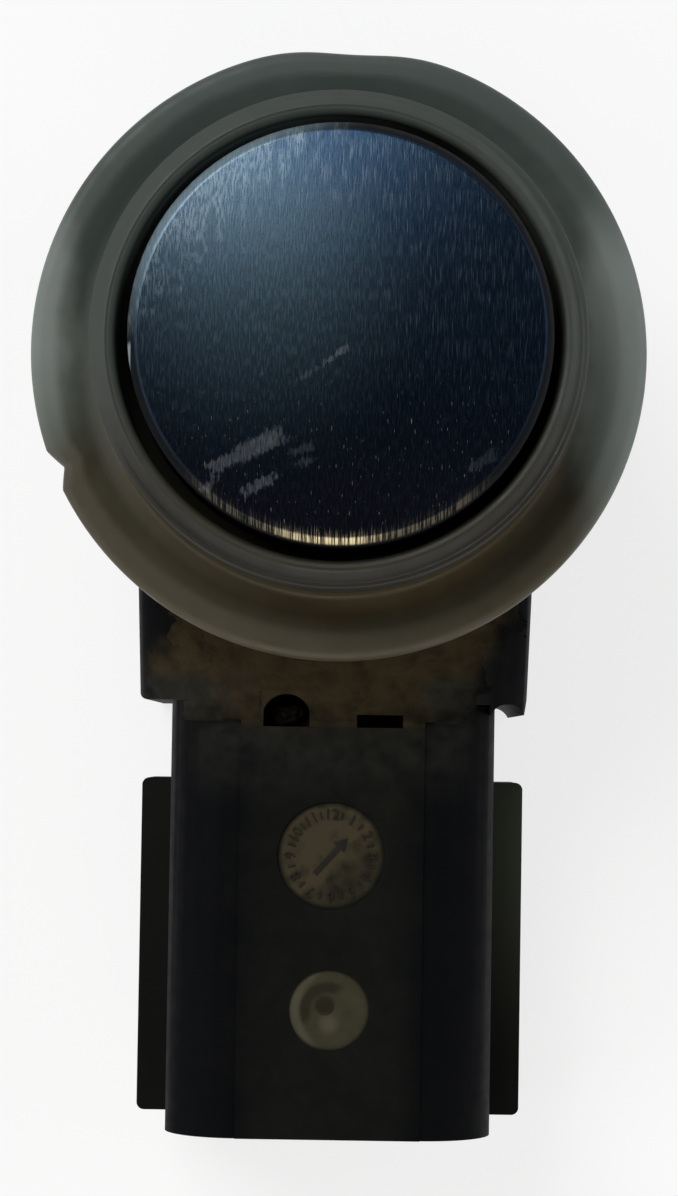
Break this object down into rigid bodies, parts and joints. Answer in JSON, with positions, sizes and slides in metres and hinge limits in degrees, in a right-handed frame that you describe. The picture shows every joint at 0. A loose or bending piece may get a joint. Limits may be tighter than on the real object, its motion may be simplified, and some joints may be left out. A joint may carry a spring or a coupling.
{
  "type": "ultrasonic parking sensor",
  "caption": "Ultrasonic parking sensor with a painted round membrane in a silicone ring, on a black housing with a side connector socket.",
  "frame": {"origin": "centre of the round head on the flat rear plane, on the axis of the membrane", "axes": "+Z out of the membrane, -Y out of the connector socket, +X to the right of the face seen from the front with the connector down"},
  "size_m": [0.0236, 0.0424, 0.024],
  "materials": {
    "housing_plastic": "matte black moulded plastic, dusty",
    "cover_plastic": "matte black moulded plastic",
    "ring_silicone": "translucent grey silicone, stained brown below",
    "washer_silicone": "plain silicone",
    "painted_cup": "dark blue paint over aluminium, scratched",
    "piezo_ceramic": "silvered ceramic",
    "pad_foam": "soft foam",
    "carrier_plastic": "natural plastic",
    "tinned_pin": "tin-plated",
    "wire_insulation": "enamel insulation",
    "board_laminate": "green circuit board",
    "chip_resin": "moulded package",
    "ferrite": "sintered ferrite",
    "bobbin_plastic": "moulded bobbin",
    "copper_winding": "enamelled copper wire",
    "capacitor_ceramic": "chip capacitor",
    "resistor_ceramic": "chip resistor"
  },
  "bodies": {
    "root": {"housing": "housing_plastic", "rear_cover": "cover_plastic", "decoupling_ring": "ring_silicone", "support_washer": "washer_silicone", "transducer_cup": "painted_cup", "piezo_disc": "piezo_ceramic", "damping_pad": "pad_foam", "contact_carrier": "carrier_plastic", "contact_pin_signal": "tinned_pin", "contact_pin_ground": "tinned_pin", "lead_wire_signal": "wire_insulation", "lead_wire_ground": "wire_insulation", "circuit_board": "board_laminate", "control_chip": "chip_resin", "transformer_core": "ferrite", "transformer_bobbin": "bobbin_plastic", "transformer_winding": "copper_winding", "ceramic_capacitors": "capacitor_ceramic", "chip_resistors": "resistor_ceramic", "tank_capacitor": "capacitor_ceramic", "protection_diode": "chip_resin", "terminal_supply": "tinned_pin", "terminal_signal": "tinned_pin", "terminal_ground": "tinned_pin"}
  },
  "joints": []
}
